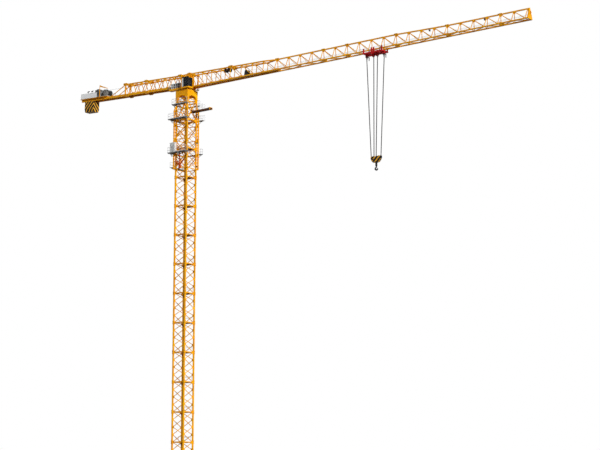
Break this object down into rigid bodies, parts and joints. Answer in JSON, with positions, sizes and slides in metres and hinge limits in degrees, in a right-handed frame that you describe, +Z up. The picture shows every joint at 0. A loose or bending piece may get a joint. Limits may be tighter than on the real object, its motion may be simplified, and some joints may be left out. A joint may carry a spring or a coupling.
{
  "type": "flat-top tower crane scale model 1:10",
  "caption": "Flat-top tower crane at 1:10: lattice mast with climbing cage, slewing jib and counter-jib, trolley running under the jib, hook block raised on rope falls, swivelling hook.",
  "frame": {"origin": "centre of the base frame's flat underside, on the mast axis", "axes": "+X along the jib at rest, +Y away from the cab side, +Z up the mast"},
  "size_m": [9.7078, 0.476, 8.8902],
  "materials": {
    "crane_yellow": "gloss",
    "cab_yellow": "gloss",
    "deck_grey": "matte",
    "rail_grey": "satin",
    "cabinet_grey": "satin",
    "ram_red": "satin",
    "beam_brown": "satin",
    "ballast_striped": "satin",
    "board_white": "satin",
    "winch_grey": "satin",
    "winch_dark": "satin",
    "cab_glass": "gloss",
    "trolley_red": "satin",
    "rope_steel": "satin",
    "block_striped": "satin",
    "hook_black": "satin"
  },
  "bodies": {
    "tower": {"base_frame": "crane_yellow", "mast_near_side": "crane_yellow", "mast_far_side": "crane_yellow", "mast_jib_side": "crane_yellow", "mast_rear_side": "crane_yellow", "slew_support_legs": "crane_yellow", "slew_ring_box": "crane_yellow", "cage_near_side": "crane_yellow", "cage_far_side": "crane_yellow", "cage_rear_side": "crane_yellow", "cage_open_side": "crane_yellow", "upper_platform": "deck_grey", "ring_platform": "deck_grey", "main_platform": "deck_grey", "lower_platform": "deck_grey", "upper_railing": "rail_grey", "ring_railing": "rail_grey", "main_railing": "rail_grey", "lower_railing": "rail_grey", "power_pack": "cabinet_grey", "climbing_ram": "ram_red", "entry_beam": "beam_brown"},
    "superstructure": {"turntable": "crane_yellow", "tower_head": "crane_yellow", "jib_root_near_side": "crane_yellow", "jib_root_far_side": "crane_yellow", "jib_root_top_bracing": "crane_yellow", "jib_top_chord": "crane_yellow", "jib_near_side": "crane_yellow", "jib_far_side": "crane_yellow", "jib_bottom_bracing": "crane_yellow", "jib_tip": "crane_yellow", "counter_jib_near_side": "crane_yellow", "counter_jib_far_side": "crane_yellow", "counter_jib_top_bracing": "crane_yellow", "counter_jib_deck": "crane_yellow", "counterweight_slabs": "ballast_striped", "side_board": "board_white", "hoist_winch": "winch_grey", "davit": "crane_yellow", "deck_railing": "rail_grey", "cab_shell": "cab_yellow", "cab_glass": "cab_glass", "service_deck": "crane_yellow", "switch_cabinet": "cabinet_grey", "service_railing": "rail_grey", "trolley_winch": "winch_dark"},
    "trolley": {"trolley_frame": "trolley_red", "trolley_wheels": "winch_dark", "trolley_sheaves": "winch_dark", "hoist_ropes": "rope_steel"},
    "hook_block": {"block_frame": "block_striped", "block_sheaves": "winch_dark"},
    "hook": {"hook": "hook_black"}
  },
  "joints": [
    {"name": "slew", "type": "hinge", "parent": "tower", "child": "superstructure", "pos_m": [0, 0, 8.468], "axis": [0, 0, 1], "continuous": true},
    {"name": "trolley_travel", "type": "slide", "parent": "superstructure", "child": "trolley", "axis": [1, 0, 0], "range_m": [-3.34, 2.65]},
    {"name": "hoist", "type": "slide", "parent": "trolley", "child": "hook_block", "axis": [0, 0, 1], "range_m": [-6.29, 1.58], "deforming": ["hoist_ropes"]},
    {"name": "hook_swivel", "type": "hinge", "parent": "hook_block", "child": "hook", "pos_m": [4.16, 0, 6.576], "axis": [0, 0, 1], "continuous": true}
  ]
}
